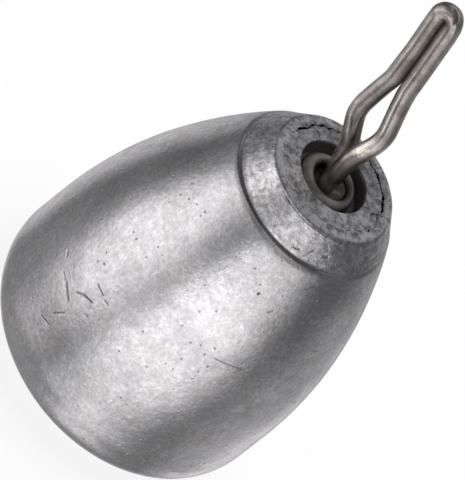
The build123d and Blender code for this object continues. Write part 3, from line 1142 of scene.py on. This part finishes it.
def dress_clip(mesh, to_row, spread, pinch, tip, wire_radius):
    """Closes the pinch, presses the tool's mark into the hairpin, and keeps painted light, painted shade, stain and
    wear for the material.
    """
    back, ahead = np.array(to_row.inverted()), np.array(to_row)
    local = places(mesh) * MM @ back[:3, :3].T + back[:3, 3]
    rings = local.reshape(-1, SECTION_POINTS, 3)
    middles = rings.mean(1)
    away = rings - middles[:, None]
    lit = angles_round(away, middles)
    count = len(middles) // 2
    first = count * SECTION_POINTS
    legs = (local[:first], middles[count:]), (local[first:], middles[:count])
    other = np.concatenate([np.sqrt(((a[:, None] - b[None]) ** 2).sum(-1).min(1)) for a, b in legs])
    x, y, z = local.T
    on_right = np.arange(len(x)) < first
    straight_part = fade(z, tip + 0.15, tip - 0.25)

    # Shape: the legs wander, the pinched part touches, and the tool left a groove in a hairpin that isn't quite round
    squeeze = fade(z, pinch - 0.6, pinch - 0.2) * straight_part * (np.abs(x) < PINCH_STRIP)
    give = np.clip(PINCH_GIVE * (PINCH_STRIP - np.abs(x)) / PINCH_RAMP, 0, PINCH_GIVE)
    pulled = local.copy()
    pulled[:, 0] -= squeeze * np.sign(x) * give
    pulled[:, 0] += np.where(on_right, course_of(z, RIGHT_ASIDE), course_of(z, LEFT_ASIDE))
    pulled[:, 0] *= np.where(x > 0, course_of(z, HAIRPIN_DRAW), 1)
    pulled[:, 2] -= HAIRPIN_DROP * np.clip(z - pinch, 0, None)
    die_line = fade(np.abs(lit - DIE_LINE), DIE_WIDTH, 0) * straight_part * fade(z, 2.8, 3.6)
    pulled -= (DIE_DEPTH / wire_radius * die_line)[:, None] * away.reshape(-1, 3)
    bend = np.degrees(np.arctan2(z - tip, x))
    round_bend = np.degrees(np.arctan2(-y, np.hypot(x, z - tip) - spread))
    course = MARK_ROUND - MARK_SLANT * (bend - MARK_BEND)
    on_bend = fade(z, tip - 0.5, tip - 0.1)
    groove = on_bend * fade(bend, MARK_START, MARK_FULL) * fade(bend, MARK_STOP, MARK_FADE)
    groove = groove * fade(np.abs(round_bend - course), MARK_OUTER, MARK_INNER)
    mark_end = on_bend * fade(np.hypot(bend - MARK_TIP[0], round_bend - MARK_TIP[1]), 12, 4)
    bent = np.radians(bend)
    centre = np.stack((spread * np.cos(bent), 0 * x, spread * np.sin(bent) + tip), -1)
    pulled += (centre - local) * (MARK_DEPTH * groove)[:, None]
    mesh.vertices.foreach_set("co", (pulled @ ahead[:3, :3].T + ahead[:3, 3]).ravel())
    mesh.update()

    # Painted light, painted shade, stain and wear
    low_side = fade(z, 3.7, 3.2) * fade(lit, 5, -25)
    # Painted light and shade round each leg, darker on the right leg's lower side
    leg_painted_light = np.where(
        on_right,
        course_of(lit, RIGHT_PAINTED_LIGHT) * (1 - 0.24 * fade(z, 3.25, 2.7)) * (1 - 0.35 * low_side),
        course_of(lit, LEFT_PAINTED_LIGHT) * (1 + 0.7 * fade(z, 3.2, 2.4)),
    )
    # Painted highlight on the outer side of the hairpin's bend, beside the tool's mark
    outside = on_bend * fade(round_bend, course, course - 14) * fade(bend, 125, 95) * fade(bend, -25, 15)
    painted_light = 1 + straight_part * (leg_painted_light - 1) + 0.45 * outside
    reach = SHADE_REACH + SHADE_LOWER * fade(z, 3.4, 2.6)
    touching = fade(other - wire_radius, reach, 0.03) * straight_part
    # Painted shadow on the front leg's lower part inside the mouth
    shaded = fade(z, 1.25, 0.75) * np.where(on_right, SHADE_LEFT, 0)
    shade_and_dirt = np.maximum.reduce((touching * np.where(on_right, SHADE_RIGHT, SHADE_LEFT), groove, shaded))
    from_patch = np.abs(z - WORN_HEIGHT - WORN_SLANT * (x - WORN_ACROSS))
    patch = fade(from_patch, 0.36, 0.10) * fade(np.abs(lit - WORN_ROUND), 55, 25)
    # Painted light round the wire, with a painted highlight at the end of the tool's mark
    store(mesh, "painted_light", np.clip(painted_light + 0.8 * mark_end, 0, LIGHTEST))
    store(mesh, "crevice_shade", np.clip(shade_and_dirt, 0, 1))
    store(mesh, "stain", np.where(on_right, 0.9 * fade(z, 3.35, 2.95), 0))
    store(mesh, "worn", 0.85 * on_right * patch)


class SINKER_OT_clip(Operator):
    """Bend the line clip from one wire: two legs, the eye and the pinched hairpin"""

    bl_idname = "sinker.clip"
    bl_label = "Line clip"

    def execute(self, context):
        clip, weight, swivel = settings("sinker_clip"), settings("sinker_weight"), settings("sinker_swivel")
        nose, _, tip = clip_levels(clip, weight, swivel)
        spread = leg_spread(clip)
        right, left = (rounded_path(leg_corners(clip, weight, swivel, side), LEG_BENDS) for side in (1, -1))
        turns = np.linspace(0, pi, round(pi / BEND_STEP) + 1)[1:-1]
        hairpin = [Vector((spread * cos(t), 0, tip + spread * sin(t))) for t in turns]
        to_row = clip_matrix(clip)
        points = [to_row @ point for point in right + hairpin + left[::-1]]

        path = bpy.data.curves.new("clip path", "CURVE")
        path.dimensions = "3D"
        run = path.splines.new("POLY")
        run.points.add(len(points) - 1)
        run.points.foreach_set("co", [value for point in points for value in (*point, 1)])
        material = wire_metal()
        mesh = bent_wire(path, material, radius=clip.wire / 2, step=0.04 * MM, unevenness=0.012 * MM)
        dress_clip(mesh, to_row, spread, nose + clip.pinch_height / MM, tip, clip.wire / 2 / MM)
        add_piece("bent_clip", mesh, "clip", "clip_wire", material, "line_clip")
        return {"FINISHED"}


class SINKER_OT_bead(Operator):
    """Build the bead that is crimped on the legs under the lip"""

    bl_idname = "sinker.bead"
    bl_label = "Stop bead"

    def execute(self, context):
        clip, swivel = settings("sinker_clip"), settings("sinker_swivel")
        radius, half = swivel.bead_radius / MM, swivel.bead_half_height / MM
        rim = acos(half / radius)
        flat = radius * sin(rim)
        reach, rise = radius * sin(rim + BEAD_TURN), radius * cos(rim + BEAD_TURN)
        rows = outline((0, -half), ((flat - BEAD_CORNER, -half), 5), ((flat, -half), (reach, -rise), 3))
        rows += arc((0, 0), radius, rim + BEAD_TURN - pi / 2, pi / 2 - rim - BEAD_TURN, 18)
        rows += outline((reach, rise), ((flat, half), (flat - BEAD_CORNER, half), 3), ((0, half), 5))
        mesh = turned_mesh("crimped_bead", rows + [(0, half)], BEAD_SIDES)
        mesh.transform(clip_matrix(clip) @ Matrix.Scale(1 / MM, 4))
        mesh = cast_skin(mesh, None, swell=0.010 * MM, dents=0.010 * MM)
        add_piece("crimped_bead", mesh, "clip", "bead_brass", bead_metal(), "stop_bead")
        return {"FINISHED"}


# Stage

# Camera: the point it aims at, in millimetres, its sensor's width in millimetres and what it sees, in metres
AIM = (-0.603, 0.0, 9.501)
SENSOR = 36.0
CLIP_START, CLIP_END = 0.01, 20

# Floor and overhead lamp, in metres and watts
FLOOR_HALF = 0.5
LAMP_SIZE, LAMP_POWER, LAMP_PLACE = 0.25, 0.85, (0.03, 0.05, 0.30)
WHITE = (1, 1, 1, 1)

# Soft panels around the sinker: azimuth, elevation and roll in degrees, half width, half height and strength
SOFT_PANELS = {
    "front left": (-52, -10, 94, 0.46, 0.512, 1.40),
    "front right": (26, -14, 97, 0.48, 0.612, 1.42),
    "front strip": (2, -13, 161, 0.17, 0.67, 0.48),
    "upper strip": (-19, 30, 183, 0.99, 0.12, 0.91),
    "below front": (31, -64, 26, 0.24, 0.43, 0.79),
    "below": (-75, -77, 24, 0.55, 0.81, 0.27),
    "behind left": (-159, -41, -55, 0.22, 0.60, 0.60),
    "behind right": (144, -44, 25, 0.38, 0.14, 0.62),
    "right": (123, -32, 1, 0.57, 0.31, 0.33),
    "behind above": (180, 42, 0, 0.60, 0.50, 0.14),
    "behind": (180, -12, 0, 0.42, 0.28, 0.45),
}
# Light from all round and how it grows upwards, how hard the panels' edges are, and the colours
SKY_LEVEL, SKY_RISE = 0.136, 0.052
PANEL_EDGE = 2.5
PANEL_COLOUR, SKY_COLOUR = (1.005, 0.985, 1.0), (0.97, 0.995, 1.04)
COOL_PANELS = ("front strip",)


def panel_light(tree, direction, azimuth, elevation, roll, width, height, strength):
    """Brightness of one soft panel in a direction: full in the middle and fading at its edges."""
    a, e, r = radians(azimuth), radians(elevation), radians(roll)
    centre = Vector((sin(a) * cos(e), -cos(a) * cos(e), sin(e)))
    level = Vector((cos(a), sin(a), 0))
    up = Vector((-sin(a) * sin(e), cos(a) * sin(e), cos(e)))
    across, along = cos(r) * level + sin(r) * up, cos(r) * up - sin(r) * level
    x = calc(tree, "DIVIDE", vector_calc(tree, "DOT_PRODUCT", direction, across), width)
    y = calc(tree, "DIVIDE", vector_calc(tree, "DOT_PRODUCT", direction, along), height)
    apart = calc(tree, "ADD", times(tree, x, x), times(tree, y, y))
    shade = calc(tree, "EXPONENT", times(tree, calc(tree, "POWER", apart, PANEL_EDGE), -1.0))
    ahead = calc(tree, "GREATER_THAN", vector_calc(tree, "DOT_PRODUCT", direction, centre), 0.0)
    return times(tree, times(tree, shade, ahead), strength)


def seen_straight(tree):
    """1 for what the camera sees, also through clear things, and 0 for other rays."""
    path = add_node(tree, "ShaderNodeLightPath")
    return calc(tree, "MAXIMUM", path.outputs["Is Camera Ray"], path.outputs["Is Transmission Ray"])


def light_world():
    """A studio of soft panels round the sinker; the camera sees plain white behind it."""
    world = bpy.data.worlds.new("studio")
    tree = empty_tree(world)
    direction = add_node(tree, "ShaderNodeTexCoord").outputs["Generated"]
    rise = add_node(tree, "ShaderNodeSeparateXYZ", {0: direction}).outputs["Z"]
    cool, warm = times_plus(tree, rise, SKY_RISE, SKY_LEVEL), None
    for name, panel in SOFT_PANELS.items():
        light = panel_light(tree, direction, *panel)
        if name in COOL_PANELS:
            cool = calc(tree, "ADD", cool, light)
        else:
            warm = light if warm is None else calc(tree, "ADD", warm, light)
    total = vector_calc(tree, "ADD", scaled(tree, SKY_COLOUR, cool), scaled(tree, PANEL_COLOUR, warm))
    studio = add_node(tree, "ShaderNodeBackground", {"Color": total, "Strength": 1.0}).outputs[0]
    white = add_node(tree, "ShaderNodeBackground", {"Color": WHITE, "Strength": 1.0}).outputs[0]
    mixed = add_node(tree, "ShaderNodeMixShader", {0: seen_straight(tree), 1: studio, 2: white}).outputs[0]
    add_node(tree, "ShaderNodeOutputWorld", {"Surface": mixed})
    bpy.context.scene.world = world


def lay_floor(stage):
    """A plain white floor that keeps the sinker's soft shadow; the metal shows the studio's panels, not the floor."""
    mesh = bpy.data.meshes.new("floor")
    corners = [(x * FLOOR_HALF, y * FLOOR_HALF, 0) for x, y in ((-1, -1), (1, -1), (1, 1), (-1, 1))]
    mesh.from_pydata(corners, [], [(0, 1, 2, 3)])
    floor = bpy.data.objects.new("floor", mesh)
    bpy.context.scene.collection.objects.link(floor)
    floor.visible_glossy = False
    floor.visible_shadow = False
    material = bpy.data.materials.new("floor white")
    tree = empty_tree(material)
    shade = add_node(tree, "ShaderNodeBsdfDiffuse", {"Color": solid(stage.floor)}).outputs[0]
    glow = add_node(tree, "ShaderNodeEmission", {"Color": WHITE, "Strength": 1.0}).outputs[0]
    share = times(tree, seen_straight(tree), 1 - stage.shadow)
    mixed = add_node(tree, "ShaderNodeMixShader", {0: share, 1: shade, 2: glow}).outputs[0]
    add_node(tree, "ShaderNodeOutputMaterial", {"Surface": mixed})
    mesh.materials.append(material)


def hang_softbox():
    """A large soft lamp overhead, which gives the floor its shadow."""
    lamp = bpy.data.lights.new("overhead softbox", "AREA")
    lamp.shape = "DISK"
    lamp.size = LAMP_SIZE
    lamp.energy = LAMP_POWER
    softbox = bpy.data.objects.new("overhead softbox", lamp)
    softbox.location = LAMP_PLACE
    softbox.rotation_mode = "QUATERNION"
    softbox.rotation_quaternion = softbox.location.to_track_quat("Z", "Y")
    softbox.visible_camera = False
    softbox.visible_glossy = False
    bpy.context.scene.collection.objects.link(softbox)


def set_camera(stage):
    """A long lens in front and above, rolled so that the sinker's axis rises to the right."""
    back = Vector((0, -cos(stage.elevation), sin(stage.elevation)))
    axis_up = Vector((0, sin(stage.elevation), cos(stage.elevation)))
    side = Vector((1, 0, 0))
    right = cos(stage.roll) * axis_up + sin(stage.roll) * side
    up = sin(stage.roll) * axis_up - cos(stage.roll) * side
    data = bpy.data.cameras.new("camera")
    data.lens = stage.lens
    data.sensor_width = SENSOR
    data.clip_start, data.clip_end = CLIP_START, CLIP_END
    camera = bpy.data.objects.new("camera", data)
    away = stage.picture_height * stage.lens / SENSOR
    turn = Matrix((right, up, back)).transposed().to_4x4()
    camera.matrix_world = Matrix.Translation(Vector(AIM) * MM + back * away) @ turn
    bpy.context.scene.collection.objects.link(camera)
    bpy.context.scene.camera = camera


class SINKER_OT_stage(Operator):
    """Lay the floor, light the studio and set the camera"""

    bl_idname = "sinker.stage"
    bl_label = "Stage"

    def execute(self, context):
        stage = settings("sinker_stage")
        context.scene.view_settings.view_transform = "Standard"
        light_world()
        lay_floor(stage)
        hang_softbox()
        set_camera(stage)
        return {"FINISHED"}


class SINKER_PT_panel(Panel):
    """Lists the sinker's pieces and their settings"""

    bl_idname = "SINKER_PT_panel"
    bl_label = "Fishing sinker"
    bl_space_type = "VIEW_3D"
    bl_region_type = "UI"
    bl_category = "Sinker"

    def draw(self, context):
        for operator in PIECE_OPERATORS:
            self.layout.operator(operator.bl_idname)
        for name, group in GROUPS.items():
            box = self.layout.box()
            for key in group.__annotations__:
                box.prop(getattr(context.scene, name), key)


PIECE_OPERATORS = (
    SINKER_OT_weight,
    SINKER_OT_sleeve,
    SINKER_OT_barrel,
    SINKER_OT_clip,
    SINKER_OT_bead,
    SINKER_OT_stage,
)
GROUPS = {
    "sinker_weight": WeightSettings,
    "sinker_swivel": SwivelSettings,
    "sinker_clip": ClipSettings,
    "sinker_stage": StageSettings,
}


def register():
    for kind in (*GROUPS.values(), *PIECE_OPERATORS, SINKER_PT_panel):
        bpy.utils.register_class(kind)
    for name, group in GROUPS.items():
        setattr(bpy.types.Scene, name, PointerProperty(type=group))


def unregister():
    for name in GROUPS:
        delattr(bpy.types.Scene, name)
    for kind in (SINKER_PT_panel, *reversed(PIECE_OPERATORS), *reversed(GROUPS.values())):
        bpy.utils.unregister_class(kind)


def main():
    register()
    bpy.ops.sinker.weight()
    bpy.ops.sinker.sleeve()
    bpy.ops.sinker.barrel()
    bpy.ops.sinker.clip()
    bpy.ops.sinker.bead()
    bpy.ops.sinker.stage()


if __name__ == "__main__":
    main()
